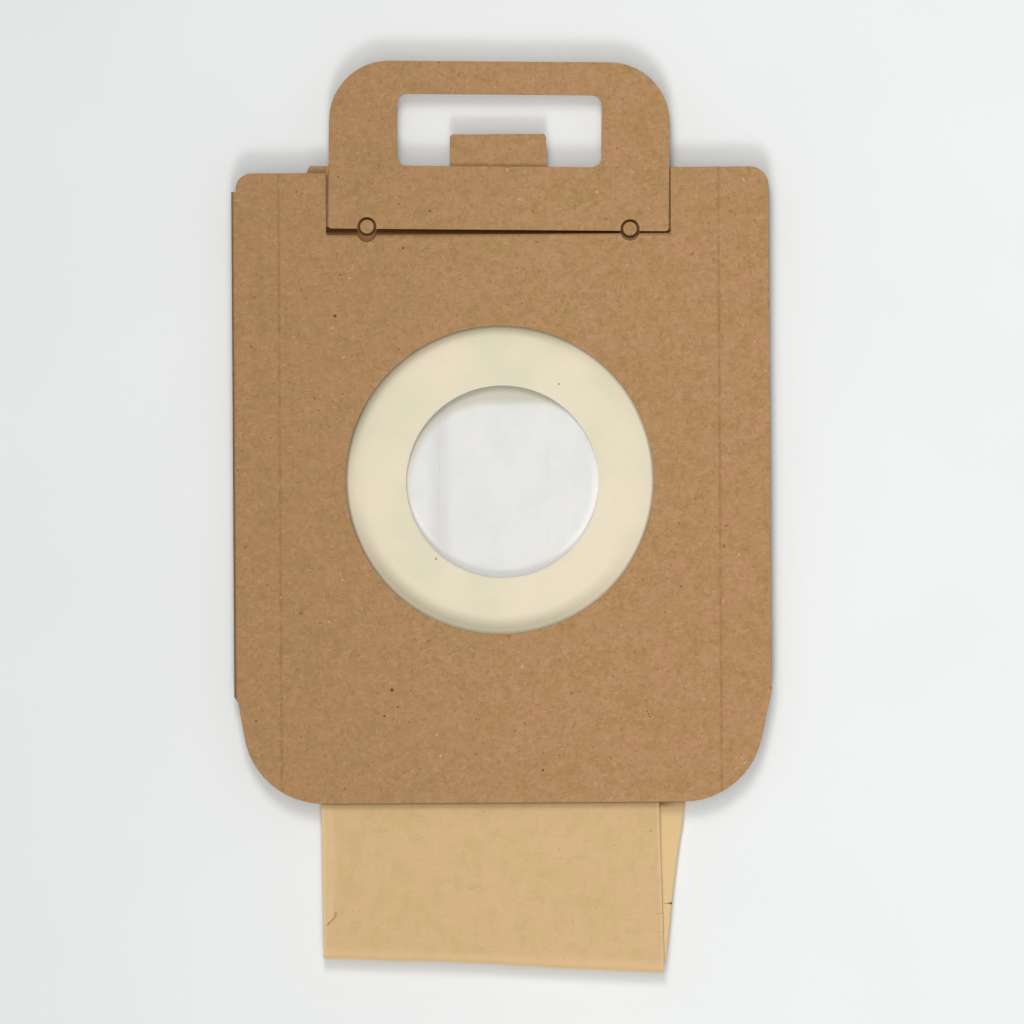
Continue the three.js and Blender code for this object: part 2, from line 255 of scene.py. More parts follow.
def pulp_board(finish, shift, marks):
    """The colour and relief of brown board: drifts of pulp, curled fibres, shreds and specks of bark, a tint
    that darkens it towards the left, and painted shade on its upright cut faces.
    """
    drift = finish.noise(9 * mm, 2, 0.5, shift)
    patch = finish.noise(3.2 * mm, 2, 0.5, shift + 11)
    grain = finish.noise(1.2 * mm, 2, 0.5, shift + 23)
    color = finish.tint(drift.rise(0.36, 0.64), shade(170, 134, 89), shade(177, 135, 95))
    color = finish.tint(patch.rise(0.42, 0.68) * 0.6, color, shade(180, 139, 99))
    color = finish.tint(patch.rise(0.5, 0.32) * 0.5, color, shade(165, 129, 85))
    color = finish.tint(grain.rise(0.5, 0.75) * 0.45, color, shade(188, 149, 110))
    color = finish.tint(grain.rise(0.5, 0.25) * 0.4, color, shade(157, 121, 77))
    # Darker towards the left side
    color = finish.tint(finish.across.rise(30 * mm, -70 * mm) * 0.28, color, shade(152, 116, 80))
    finish.bend_fibres(3 * mm, 2.2 * mm)
    dark_curls = finish.curls(3.4 * mm, shift + 31)
    pale_curls = finish.curls(3 * mm, shift + 47)
    dark = finish.flecks(0.25, 2.6 * mm, 0.55 * mm, 0.13, shift + 1)
    for index, angle in enumerate((0.95, 1.7, 2.6)):
        dark = dark.larger(finish.flecks(angle, 2.3 * mm, 0.55 * mm, 0.09, shift + 2 + index))
    pale = finish.flecks(0.05, 3 * mm, 0.55 * mm, 0.13, shift + 6)
    for index, angle in enumerate((0.7, 1.5, 2.3)):
        pale = pale.larger(finish.flecks(angle, 2.4 * mm, 0.55 * mm, 0.09, shift + 7 + index))
    color = finish.tint(dark_curls * 0.19, color, shade(150, 113, 70))
    color = finish.tint(pale_curls * 0.17, color, shade(197, 158, 117))
    color = finish.tint(dark * 0.44, color, shade(142, 105, 64))
    color = finish.tint(pale * 0.35, color, shade(199, 160, 120))
    bark = finish.specks(3.6 * mm, 0.36 * mm, 0.28, shift + 13)
    chalk = finish.specks(9 * mm, 0.4 * mm, 0.35, shift + 17)
    color = finish.tint(bark * 0.55, color, shade(122, 82, 44))
    color = finish.tint(chalk * 0.45, color, shade(220, 190, 150))
    color = finish.tint(finish.spots(marks) * 0.85, color, shade(80, 52, 30))
    # Painted shade on the board's upright cut faces
    color = finish.tint(finish.flatness().rise(0.97, 0.6) * 0.62, color, shade(112, 78, 44))
    relief = patch * 0.5 + grain * 0.35 + pale_curls * 0.3 + pale * 0.3 - dark * 0.25 - bark * 0.4
    return color, relief


def paint_board(finish, color, relief):
    finish.paint(color, 0.84 + relief * 0.08, relief, 0.05 * mm)
    finish.shader.inputs["Specular IOR Level"].default_value = 0.15


def die_cut(node, name, material):
    """The solid of a board piece, with its flat faces made whole and its cut rims rounded over."""
    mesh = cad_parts[node].data.copy()
    mesh.name = name
    shape = bmesh.new()
    shape.from_mesh(mesh)
    weld = 0.001 * mm
    bmesh.ops.remove_doubles(shape, verts=shape.verts, dist=weld)
    flat = math.radians(0.5)
    bmesh.ops.dissolve_limit(shape, angle_limit=flat, verts=shape.verts, edges=shape.edges)
    sharp = math.radians(60)
    corners = [edge for edge in shape.edges if edge.is_manifold and edge.calc_face_angle() > sharp]
    rims = [edge for edge in corners if abs((edge.verts[0].co - edge.verts[1].co).normalized().z) < 0.5]
    bmesh.ops.bevel(
        shape,
        geom=rims,
        offset=rim_radius,
        segments=3,
        profile=0.5,
        affect="EDGES",
        clamp_overlap=True,
    )
    bmesh.ops.triangulate(shape, faces=shape.faces)
    shape.to_mesh(mesh)
    shape.free()
    mesh.materials.clear()
    mesh.materials.append(material)
    mesh.shade_smooth()
    mesh.set_sharp_from_angle(angle=board_crease)
    piece = bpy.data.objects.new(name, mesh)
    bpy.context.collection.objects.link(piece)
    weighted = piece.modifiers.new("even_light", "WEIGHTED_NORMAL")
    weighted.keep_sharp = True
    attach(piece, "root")
    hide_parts(node)
    return piece


rim_radius = 0.22 * mm
board_crease = math.radians(38)
collar_marks = [
    (*photo_place(335, 316), 0.55 * mm),
    (*photo_place(392, 690), 0.6 * mm),
    (*photo_place(384.5, 716), 0.4 * mm),
    (*photo_place(398, 707), 0.35 * mm),
    (*photo_place(403, 248), 0.4 * mm),
    (*photo_place(340, 275), 0.3 * mm),
    (*photo_place(256, 721), 0.35 * mm),
    (*photo_place(543, 770), 0.4 * mm),
    *photo_stroke((647, 711), (650, 717), 0.25 * mm, 3),
    *photo_stroke((586, 309), (594, 307), 0.16 * mm, 5),
    *photo_stroke((625, 757), (632, 755), 0.16 * mm, 4),
]
inlet_x = -0.414 * mm
inlet_y = 9.070 * mm
score_from_inlet = 55 * mm
back_panel_face = 6.7 * mm
handle_foot = inlet_y + 62.55 * mm
handle_lean = math.tan(math.radians(-0.8))
recess_side = 43.1 * mm
shoulder = inlet_y + 77 * mm
tack_radius = 1.8 * mm

collar_finish = Finish("collar_kraft_board")
across = collar_finish.across
along = collar_finish.along
pulp, relief = pulp_board(collar_finish, 0.0, collar_marks)

# Painted shade darkens the scores down both sides, more in some places than in others
from_middle = abs(across - inlet_x)
patchy = collar_finish.noise(2.5 * mm, 2, 0.5, 61).rise(0.35, 0.65) * 0.7 + 0.3
score = abs(from_middle - score_from_inlet).rise(0.55 * mm, 0.1 * mm) * patchy
pulp = collar_finish.tint(score * 0.42, pulp, shade(134, 99, 58))

# Painted shadow darkens the back panel's face in the gaps round the handle and the tacks, and lighter painted
# shade darkens it where it shows below the handle's foot.
# The edge of the front panel below the handle is soft and darkened by painted shade.
on_back_panel = abs(collar_finish.level - back_panel_face).rise(0.12 * mm, 0.04 * mm)
below_foot = handle_foot + (across - inlet_x) * handle_lean - along
near_foot = from_middle.rise(recess_side + 0.4 * mm, recess_side - 0.2 * mm)
near_foot = near_foot * below_foot.rise(-0.7 * mm, -0.3 * mm)
narrowing = across.rise(-30 * mm, 36 * mm)
foot_gap = below_foot.rise(1.4 * mm, 0.7 * mm) * near_foot * (across.rise(37 * mm, 34 * mm) * 0.7 + 0.3)
left_gap = across.rise(inlet_x - recess_side + 1.1 * mm, inlet_x - recess_side + 0.7 * mm)
left_gap = left_gap * along.rise(shoulder, shoulder - 0.8 * mm)
left_gap = left_gap * (along.rise(70 * mm, 84 * mm) * 0.22 + 0.2)
right_gap = across.rise(inlet_x + recess_side - 1.1 * mm, inlet_x + recess_side - 0.7 * mm) * 0.5
right_gap = right_gap * along.rise(shoulder + 2 * mm, shoulder + 1.2 * mm)
gap = foot_gap.larger(left_gap).larger(right_gap)
crescent_shade = below_foot.rise(0, 0.5 * mm) * 0.4
for side in ("left", "right"):
    low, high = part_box(f"tack_disc_{side}")
    from_tack = across.to((low.x + high.x) / 2, (low.y + high.y) / 2)
    ring = from_tack.rise(tack_radius + 0.75 * mm, tack_radius + 0.3 * mm) * 0.88
    gap = gap * from_tack.rise(tack_radius, tack_radius + 1.2 * mm)
    gap = gap.larger(ring)
soft_edge_shade = below_foot.rise(narrowing * -1.2 * mm + 2.6 * mm, narrowing * -0.8 * mm + 1.3 * mm) * near_foot
pulp = collar_finish.tint(soft_edge_shade * 0.56, pulp, shade(112, 78, 42))
pulp = collar_finish.tint(crescent_shade * on_back_panel, pulp, shade(118, 84, 48))
pulp = collar_finish.tint(gap * on_back_panel * 0.94, pulp, shade(72, 42, 10))
paint_board(collar_finish, pulp, relief)
collar = die_cut("collar_board", "folded_collar", collar_finish.material)

# At its lower end the fold is crushed aslant past the corner
fold_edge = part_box("collar_board")[0][0]
fold_foot = inlet_y - 53.9 * mm
fold_depth = 1.07 * mm
fold_slant = 1.5 * mm
crushed_depth = 1.3
crushed_reach = 0.5 * mm
for vertex in collar.data.vertices:
    beside = (vertex.co.x - fold_edge) / fold_depth
    if beside < crushed_depth and abs(vertex.co.y - fold_foot) < crushed_reach:
        vertex.co.y -= fold_slant * min(1, max(0, beside))

# Seal
# A ring of cream rubber, punched from flat sheet a little off centre and clamped by its rim.
# Between the clamped rim and the hole it swells up a little, and its lip is slightly rounded.
seal_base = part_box("sealing_membrane")[0][2]
seal_thickness = 0.5 * mm
seal_radius = 45 * mm
seal_hole_radius = 24.1 * mm
seal_hole_x = 0.65 * mm
seal_hole_y = -0.45 * mm
clamped_radius = 38.6 * mm
swell_radius = 32 * mm
seal_swell = 0.35 * mm
lip_sink = 0.2 * mm
lip_round = 0.12 * mm
seal_facets = 180
seal_rings = 40
rim_shade_width = 9.5 * mm


def smooth(part):
    """From 0 to 1 along a soft curve, and level before and after that."""
    part = min(1, max(0, part))
    return part * part * (3 - 2 * part)


def seal_level(radius):
    """How far the rubber stands off its clamped level at a distance from the middle of the inlet."""
    swell = seal_swell * smooth((clamped_radius - radius) / (clamped_radius - swell_radius))
    sink = lip_sink * smooth((swell_radius - radius) / (swell_radius - seal_hole_radius))
    return swell - sink


def lofted(name, rows, closed, material):
    """A mesh skinned over rows of points, each a closed loop. If it isn't closed, both ends are capped."""
    shape = bmesh.new()
    loops = [[shape.verts.new(point) for point in row] for row in rows]
    pairs = list(zip(loops, loops[1:]))
    if closed:
        pairs.append((loops[-1], loops[0]))
    for row, following in pairs:
        for k in range(len(row)):
            after = (k + 1) % len(row)
            shape.faces.new((row[k], row[after], following[after], following[k]))
    if not closed:
        caps = [shape.faces.new(loops[0][::-1]), shape.faces.new(loops[-1])]
        bmesh.ops.triangulate(shape, faces=caps)
    bmesh.ops.recalc_face_normals(shape, faces=shape.faces)
    mesh = bpy.data.meshes.new(name)
    shape.to_mesh(mesh)
    shape.free()
    mesh.materials.append(material)
    mesh.shade_smooth()
    piece = bpy.data.objects.new(name, mesh)
    bpy.context.collection.objects.link(piece)
    return piece


rubber = Finish("seal_rubber_sheet")
cloud = rubber.noise(16 * mm, 2)
bloom = rubber.noise(2 * mm, 3)
pores = rubber.noise(0.35 * mm, 2)
cream = rubber.tint(cloud.rise(0.35, 0.65), shade(223, 215, 187), shade(231, 219, 192))
cream = rubber.tint(bloom.rise(0.5, 0.75) * 0.25, cream, shade(220, 212, 187))

# Painted shade darkens the rubber towards the clamped rim, olive in a wide band at the foot and a narrow one
# at the head, and a painted shadow darkens its outline most at the sides.
from_inlet = rubber.across.to(inlet_x, inlet_y)
towards_foot = (inlet_y - rubber.along) * (1 / clamped_radius)
towards_left = (inlet_x - rubber.across) * (1 / clamped_radius)
inside = from_inlet - clamped_radius
near_rim = ((inside + rim_shade_width) * (1 / rim_shade_width)).larger(0)
near_rim = near_rim * near_rim
near_rim = near_rim * near_rim
rim_shade = near_rim * (towards_left.rise(-1, -0.4) * 0.15 + towards_left.rise(0, 1) * 0.1 + 0.03)
head_band = inside.rise(-2.8 * mm, -0.5 * mm) * (inside.rise(0, -1 * mm) * 0.4 + 0.6)
head_band = head_band * towards_foot.rise(0, -0.5) * towards_left.rise(-0.75, -0.1)
foot_band = inside.rise(-5 * mm, -1.3 * mm) * (inside.rise(0, -1.6 * mm) * 0.6 + 0.4)
foot_band = foot_band * towards_foot.rise(0, 0.8) * towards_left.rise(-1.3, 0)
cream = rubber.tint(rim_shade + head_band * 0.4 + foot_band * 0.36, cream, shade(112, 98, 62))
outlined = abs(towards_left).rise(0.65, 1).larger(towards_foot.rise(0.1, -0.5) * 0.5)
outline = inside.rise(-0.9 * mm, -0.25 * mm) * outlined
cream = rubber.tint(outline * 0.58, cream, shade(96, 74, 38))
# Painted light makes the rubber paler along the lip of its hole
from_hole = rubber.across.to(inlet_x + seal_hole_x, inlet_y + seal_hole_y) - seal_hole_radius
cream = rubber.tint(from_hole.rise(0.3 * mm, 0.05 * mm) * 0.8, cream, shade(250, 246, 232))
dust = [(*photo_place(559, 384), 0.32 * mm), (*photo_place(436, 559), 0.36 * mm)]
cream = rubber.tint(rubber.spots(dust) * 0.8, cream, shade(96, 84, 66))
rubber.paint(cream, 0.5 + pores * 0.12, bloom * 0.7 + pores * 0.3, 0.012 * mm)
rubber.shader.inputs["Specular IOR Level"].default_value = 0.3

# Each row is the ring cut across at one angle: out over its upper face, round its rim and back underneath
seal_rows = []
for step in range(seal_facets):
    angle = 2 * math.pi * step / seal_facets
    reach = Vector((math.cos(angle), math.sin(angle)))
    inner = Vector((seal_hole_x, seal_hole_y)) + reach * seal_hole_radius
    outer = reach * seal_radius
    stretch = (outer - inner).length
    profile = []
    for k in range(seal_rings + 1):
        profile.append((lip_round + (stretch - 2 * lip_round) * k / seal_rings, 1))
    profile += [(stretch - lip_round * 0.3, 0.8), (stretch, 0.5), (stretch - lip_round * 0.3, 0.2)]
    for k in range(seal_rings + 1):
        profile.append((stretch - lip_round - (stretch - 2 * lip_round) * k / seal_rings, 0))
    profile += [(lip_round * 0.3, 0.2), (0, 0.5), (lip_round * 0.3, 0.8)]
    row = []
    for along, share in profile:
        place = inner.lerp(outer, along / stretch)
        level = seal_base + seal_level(place.length) + seal_thickness * share
        row.append((inlet_x + place.x, inlet_y + place.y, level))
    seal_rows.append(row)
seal = lofted("rubber_seal", seal_rows, True, rubber.material)
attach(seal, "root")
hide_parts("sealing_membrane")

# Handle
# A second piece of the same board with a window for the fingers, lying in the collar's recess.
# It is glued to the back panel by its foot and lies a little askew.
handle_marks = [
    (*photo_place(430, 211), 0.35 * mm),
    (*photo_place(500, 205), 0.2 * mm),
    (*photo_place(575, 206), 0.22 * mm),
    (*photo_place(337, 133), 0.22 * mm),
]
handle_finish = Finish("handle_kraft_board")
paint_board(handle_finish, *pulp_board(handle_finish, 3.0, handle_marks))
handle = die_cut("lifting_handle", "board_handle", handle_finish.material)

# Tacks
# Two discs of the same board, left standing in rings that were punched half out of the handle.
# They are glued to the back panel beneath them.
tack_marks = [(*photo_place(631, 234), 0.2 * mm), (*photo_place(633, 236), 0.15 * mm)]
tack_finish = Finish("tack_kraft_board")
paint_board(tack_finish, *pulp_board(tack_finish, 5.0, tack_marks))
for side in ("left", "right"):
    tack = die_cut(f"tack_disc_{side}", f"board_tack_{side}", tack_finish.material)

# Bag
# A tube of brown paper with a gusset down each side, glued by its front wall under the collar.
# Below the collar it runs on, sinks to a pressed fold that is a little askew, and goes back under itself.
ply = 0.15 * mm
ply_gap = 0.05 * mm
tube_width = 84.6 * mm
fold_flare = 0.7 * mm
fold_lift = 3.2 * mm
back_spread = 0.35 * mm
back_fan = 0.85 * mm
gusset_depth = 28.4 * mm
gusset_taper = 9 * mm
gusset_tip_share = 0.2
gusset_tip_sink = 0.8 * mm
tube_top = 73.7 * mm
collar_foot = -80.7 * mm
tube_centre = -1.6 * mm
glued_lean = math.radians(-0.95)
free_lean = math.radians(1)
loose_height = 2.6 * mm
loose_slit = 0.3 * mm
pressed_height = 1.7 * mm
pressed_slit = 0.1 * mm
fold_inner_radius = 0.15 * mm
cross_fold_y = -121.7 * mm
cross_fold_skew = math.radians(-2.7)
folded_length = 172 * mm
back_relief = 38 * mm
end_seam = 8 * mm
bag_hole_radius = 29 * mm
bag_hole_facets = 120
punch_rise = 1 * mm
paper_crease = math.radians(50)
wave_length = 17 * mm
wave_rise = 0.3 * mm
wave_fade = 8 * mm
inlet_swell = 1 * mm
inlet_swell_reach = 28.8 * mm
nick_corners = [(675, 902.2), (675, 905.5), (667.5, 904)]
nick_floor = 2.2 * mm
nick_height = 1.4 * mm
fold_bow = [(0, 0), (0.07, 0.24), (0.18, 0.25), (0.32, 0.5), (0.47, 0.5), (0.59, 0.25), (0.7, 0.1), (1, 0)]
ply_bend_steps = 6
gusset_columns = 30
wall_columns = 40
glued_steps = 32
free_steps = 24
fold_steps = 12
relief_steps = 20


def bowed(share):
    """How far the pressed fold stops short of a straight line, at a share of the bag's width."""
    for (before, low), (after, high) in zip(fold_bow, fold_bow[1:]):
        if share <= after:
            return (low + (high - low) * smooth((share - before) / (after - before))) * mm
    return 0


def bend(x, y, radius, start, end, steps):
    """Points round an arc from one angle to another, in degrees."""
    points = []
    for k in range(steps + 1):
        angle = math.radians(start + (end - start) * k / steps)
        points.append((x + radius * math.cos(angle), y + radius * math.sin(angle)))
    return points


def tube_section(inset, width, height, slit, sag):
    """The flattened tube cut across: two walls and a gusset at each side, as (across, up) points.

    Where it sags, the gusset thins out towards its tip and comes to rest on the back wall.
    """
    fold = (height - slit) / 4
    wall = fold - inset
    tip_radius = slit / 2 + inset
    tip = gusset_depth - slit / 2

    # Six bends in order round the section, and how many columns the straight stretch after each has
    bends = [
        bend(width - fold, fold, wall, -90, 90, ply_bend_steps),
        bend(width - tip, height / 2, tip_radius, -90, -270, ply_bend_steps),
        bend(width - fold, height - fold, wall, -90, 90, ply_bend_steps),
        bend(fold, height - fold, wall, 90, 270, ply_bend_steps),
        bend(tip, height / 2, tip_radius, 90, -90, ply_bend_steps),
        bend(fold, fold, wall, 90, 270, ply_bend_steps),
    ]
    columns = [gusset_columns, gusset_columns, wall_columns] * 2
    section = []
    for index, points in enumerate(bends):
        section += points
        start = Vector(points[-1])
        end = Vector(bends[(index + 1) % len(bends)][0])
        for k in range(1, columns[index]):
            section.append(tuple(start.lerp(end, k / columns[index])))
    middle = height / 2
    gusset_reach = slit / 2 + inset + 0.01 * mm
    sagged = []
    for across, up in section:
        if abs(up - middle) < gusset_reach:
            depth = min(across, width - across)
            near_tip = sag * smooth((depth - gusset_depth + gusset_taper) / gusset_taper)
            share = 1 + (gusset_tip_share - 1) * near_tip
            up = middle + (up - middle) * share - gusset_tip_sink * near_tip
        sagged.append((across, up))
    return sagged


def tube_rows(inset, end_inset):
    """The tube's sections in order, from its end behind the collar over the cross fold to its loose end."""
    axis_height = pressed_height + fold_inner_radius
    axis_y = cross_fold_y + axis_height
    upper_base = loose_height + 2 * fold_inner_radius
    glued_foot = tube_centre + collar_foot * math.tan(-glued_lean)
    axis_x = glued_foot + (collar_foot - axis_y) * math.tan(free_lean)
    rows = []

    def add(centre, turn, up, width, height, slit, sag, bow):
        across_way = Vector((math.cos(turn), math.sin(turn), 0))
        row = []
        for across, rise in tube_section(inset, width, height, slit, sag):
            place = centre + across_way * (across - width / 2) + up * rise
            place.y += bow * bowed(across / width)
            row.append(place)
        rows.append(row)

    # Level behind the collar
    up = Vector((0, 0, 1))
    for k in range(glued_steps + 1):
        y = tube_top - end_inset + (collar_foot - tube_top + end_inset) * k / glued_steps
        centre = Vector((tube_centre + y * math.tan(-glued_lean), y, upper_base))
        add(centre, 0, up, tube_width, loose_height, loose_slit, 1, 0)

    # Below the collar, down to the cross fold that presses it thin
    for k in range(1, free_steps):
        part = k / free_steps
        press = smooth(part)
        x = glued_foot + (axis_x - glued_foot) * part
        y = collar_foot + (axis_y - collar_foot) * part
        z = upper_base + (axis_height + fold_inner_radius - upper_base) * press
        height = loose_height + (pressed_height - loose_height) * press
        slit = loose_slit + (pressed_slit - loose_slit) * press
        width = tube_width + fold_flare * part
        centre = Vector((x, y, z))
        add(centre, cross_fold_skew * part, up, width, height, slit, smooth(1 - 4 * part), press)

    # Round the cross fold
    axis = Vector((axis_x, axis_y, axis_height))
    fold_line = Vector((math.cos(cross_fold_skew), math.sin(cross_fold_skew), 0))
    outward = Vector((fold_line.y, -fold_line.x, 0))
    for k in range(fold_steps + 1):
        turn = math.pi * k / fold_steps
        away = up * math.cos(turn) + outward * math.sin(turn)
        centre = axis + away * fold_inner_radius
        width = tube_width + fold_flare
        add(centre, cross_fold_skew, away, width, pressed_height, pressed_slit, 0, 1)

    # Back under itself, at the angle that the skewed fold gives it
    down = Vector((math.sin(free_lean), -math.cos(free_lean), 0))
    back = fold_line * (2 * down.dot(fold_line)) - down
    square_turn = math.atan2(-back.x, back.y)
    places = [back_relief * k / relief_steps for k in range(1, relief_steps + 1)]
    rest = folded_length - end_inset - back_relief
    places += [back_relief + rest * k / relief_steps for k in range(1, relief_steps + 1)]
    for place in places:
        part = min(1, place / back_relief)
        press = smooth(part)
        height = pressed_height + (loose_height - pressed_height) * press
        slit = pressed_slit + (loose_slit - pressed_slit) * press
        centre = axis + back * place
        centre.z = height
        turn = cross_fold_skew + (square_turn - cross_fold_skew) * part
        spread = back_spread + back_fan * part ** 3
        centre += Vector((math.cos(turn), math.sin(turn), 0)) * (spread / 2)
        width = tube_width + fold_flare * (1 - part) + spread
        add(centre, turn, -up, width, height, slit, 0, 1 - press)
    return rows


def waved(point):
    """A point of the bag in the frame, with the paper's slack in the part that shows below the collar."""
    place = Vector((point.x + inlet_x, point.y + inlet_y, point.z))
    below_collar = smooth((collar_foot - point.y) / wave_fade)
    above_fold = smooth((point.y - cross_fold_y - 2 * mm) / wave_fade)
    upper = smooth((point.z - loose_height) / (2 * fold_inner_radius))
    height = noise.noise(Vector((point.x / wave_length, point.y / wave_length * 1.4, 3.7)))
    place.z += wave_rise * max(0, height + 0.25) * below_collar * above_fold * upper
    place.z += fold_lift * smooth((collar_foot - point.y) / (collar_foot - cross_fold_y)) ** 2
    return place


def paper_tube(name, inset, ends, seam, material):
    """One ply of the bag: a closed tube, hollow inside, with the inlet cut through its front wall only.

    The walls that are seen through the inlet swell up a little towards it.
    """
    body_rows = [[waved(point) for point in row] for row in tube_rows(inset, ends)]
    body = lofted(name, body_rows, False, material)
    hollow_rows = [[waved(point) for point in row] for row in tube_rows(inset + ply, ends + seam)]
    hollow = lofted(name + "_hollow", hollow_rows, False, material)

    # The punch starts halfway down the gap between the front wall and the gussets
    wall = 2 * ply + ply_gap
    front = loose_height * 2 + 2 * fold_inner_radius
    loose_gap = (loose_height - loose_slit) / 2 - 2 * wall
    punch_foot = front - wall - loose_gap / 2
    punch_rows = []
    for level in (punch_foot, front + punch_rise):
        ring = bend(inlet_x, inlet_y, bag_hole_radius, 0, 360, bag_hole_facets)[:-1]
        punch_rows.append([Vector((x, y, level)) for x, y in ring])
    punch = lofted(name + "_punch", punch_rows, False, material)
    nick_rows = []
    for level in (nick_floor, nick_floor + nick_height):
        corners = [photo_place(x, y) for x, y in nick_corners]
        nick_rows.append([Vector((x, y, level)) for x, y in corners])
    nick = lofted(name + "_nick", nick_rows, False, material)
    for cutter in (hollow, punch, nick):
        cut = body.modifiers.new(cutter.name, "BOOLEAN")
        cut.object = cutter
        cut.operation = "DIFFERENCE"
        cut.solver = "EXACT"
    bpy.context.view_layer.update()
    cut_mesh = bpy.data.meshes.new_from_object(body.evaluated_get(bpy.context.evaluated_depsgraph_get()))
    body.modifiers.clear()
    for vertex in cut_mesh.vertices:
        from_inlet = math.hypot(vertex.co.x - inlet_x, vertex.co.y - inlet_y)
        if vertex.co.z > loose_height + ply + ply_gap:
            vertex.co.z += inlet_swell * smooth((inlet_swell_reach - from_inlet) / wave_fade)
    body.data = cut_mesh
    cut_mesh.name = name
    cut_mesh.set_sharp_from_angle(angle=paper_crease)
    for cutter in (hollow, punch, nick):
        bpy.data.objects.remove(cutter)
    return body


paper = Finish("brown_bag_paper")
across = paper.across
along = paper.along
level = paper.level

# The edges of the part that shows below the collar follow from its corners in the photograph
left_top = photo_place(321.6, 803)
left_foot = photo_place(323.7, 958)
right_foot = photo_place(664.6, 971.8)
edge_lean = (left_foot[0] - left_top[0]) / (left_foot[1] - left_top[1])
fold_lean = (right_foot[1] - left_foot[1]) / (right_foot[0] - left_foot[0])
inward = across - left_top[0] - (along - left_top[1]) * edge_lean
above_fold = along - left_foot[1] - (across - left_foot[0]) * fold_lean
crease_top = photo_place(335, 915)[1]
crease_foot = photo_place(327, 927)[1]
right_top = photo_place(658.8, 803)
right_lean = (right_foot[0] - right_top[0]) / (right_foot[1] - right_top[1])
from_right = right_top[0] - across + (along - right_top[1]) * right_lean

# The upper layer is told from the one that is folded back under it by its height and its right edge
front_layer = level.rise(2.75 * mm, 2.95 * mm) * from_right.rise(-0.5 * mm, -0.2 * mm)

drift = paper.noise(11 * mm, 2, 0.5, 2)
patch = paper.noise(4.2 * mm, 2, 0.5, 5)
grain = paper.noise(0.8 * mm, 2, 0.5, 9)
brown = paper.tint(drift.rise(0.35, 0.65), shade(207, 176, 126), shade(211, 177, 133))
brown = paper.tint(patch.rise(0.42, 0.68) * 0.6, brown, shade(213, 178, 134))
brown = paper.tint(patch.rise(0.5, 0.34) * 0.5, brown, shade(202, 171, 121))
brown = paper.tint(grain.rise(0.45, 0.75) * 0.12, brown, shade(218, 187, 144))
paper.bend_fibres(4 * mm, 1.6 * mm)
pale_shreds = paper.flecks(0.0, 3.2 * mm, 0.42 * mm, 0.13, 1)
pale_shreds = pale_shreds.larger(paper.flecks(-0.12, 2.4 * mm, 0.42 * mm, 0.1, 2))
pale_shreds = pale_shreds.larger(paper.flecks(0.5, 1.8 * mm, 0.4 * mm, 0.06, 3))
dark_shreds = paper.flecks(0.08, 2.6 * mm, 0.42 * mm, 0.13, 4)
dark_shreds = dark_shreds.larger(paper.flecks(-0.06, 2 * mm, 0.4 * mm, 0.1, 5))
dark_shreds = dark_shreds.larger(paper.flecks(1.4, 1.7 * mm, 0.45 * mm, 0.06, 6))
curls = paper.curls(2.6 * mm, 21)
brown = paper.tint(curls * 0.22, brown, shade(194, 160, 114))
brown = paper.tint(pale_shreds * 0.24, brown, shade(224, 193, 148))
brown = paper.tint(dark_shreds * 0.26, brown, shade(188, 153, 107))
brown = paper.tint(paper.specks(6 * mm, 0.4 * mm, 0.3, 8) * 0.4, brown, shade(176, 140, 96))

# A paler band runs down the left side and ends at a short slanting crease, which painted shade darkens
band_width = along.rise(crease_foot, crease_top) * 2.1 * mm + 0.9 * mm
band = (inward - band_width).rise(1.2 * mm, -1.2 * mm) * front_layer
brown = paper.tint(band * 0.42, brown, shade(226, 194, 146))
crease = abs(inward - band_width - 0.1 * mm).rise(0.6 * mm, 0.06 * mm)
crease = crease * along.rise(crease_foot, crease_foot + 0.6 * mm)
fading = along.rise(crease_top + 5 * mm, crease_top) * 0.25
crease = crease * (along.rise(crease_top + 1.2 * mm, crease_top) * 0.75 + fading)
brown = paper.tint(crease * front_layer * 0.58, brown, shade(148, 110, 62))

# Painted highlights make the folded edges paler and the paper paler towards the cross fold, and the part
# folded back under the bag is paler
edge = inward.rise(0.9 * mm, 0).larger(from_right.rise(0.9 * mm, 0) * from_right.rise(-0.6 * mm, -0.3 * mm))
brown = paper.tint(edge * front_layer * 0.6, brown, shade(232, 203, 158))
brown = paper.tint(above_fold.rise(3.6 * mm, 0.8 * mm) * front_layer * 0.55, brown, shade(226, 191, 145))
brown = paper.tint(front_layer.rise(1, 0) * 0.85, brown, shade(224, 194, 146))
# Painted light brightens the folded-back part along the front layer's right edge, and the paper's upright
# faces
under_edge = abs(from_right + 0.1 * mm).rise(0.5 * mm, 0.1 * mm) * front_layer.rise(1, 0)
brown = paper.tint(under_edge * 0.6, brown, shade(244, 220, 174))
brown = paper.tint(paper.flatness().rise(0.85, 0.2) * 0.8, brown, shade(246, 222, 180))

# Painted shadow darkens the corner under the collar's edge, and farther down on the part that is folded back
collar_edge_shadow = abs(along - left_top[1] + 0.1 * mm).rise(0.75 * mm, 0.2 * mm)
brown = paper.tint(collar_edge_shadow * 0.5, brown, shade(84, 54, 28))
strip_shadow = along.rise(left_top[1] - 2 * mm, left_top[1] - 0.9 * mm) * front_layer.rise(1, 0)
strip_shadow = strip_shadow * (from_right.rise(-5 * mm, -0.4 * mm) * 0.55 + 0.15)
brown = paper.tint(strip_shadow, brown, shade(120, 84, 44))

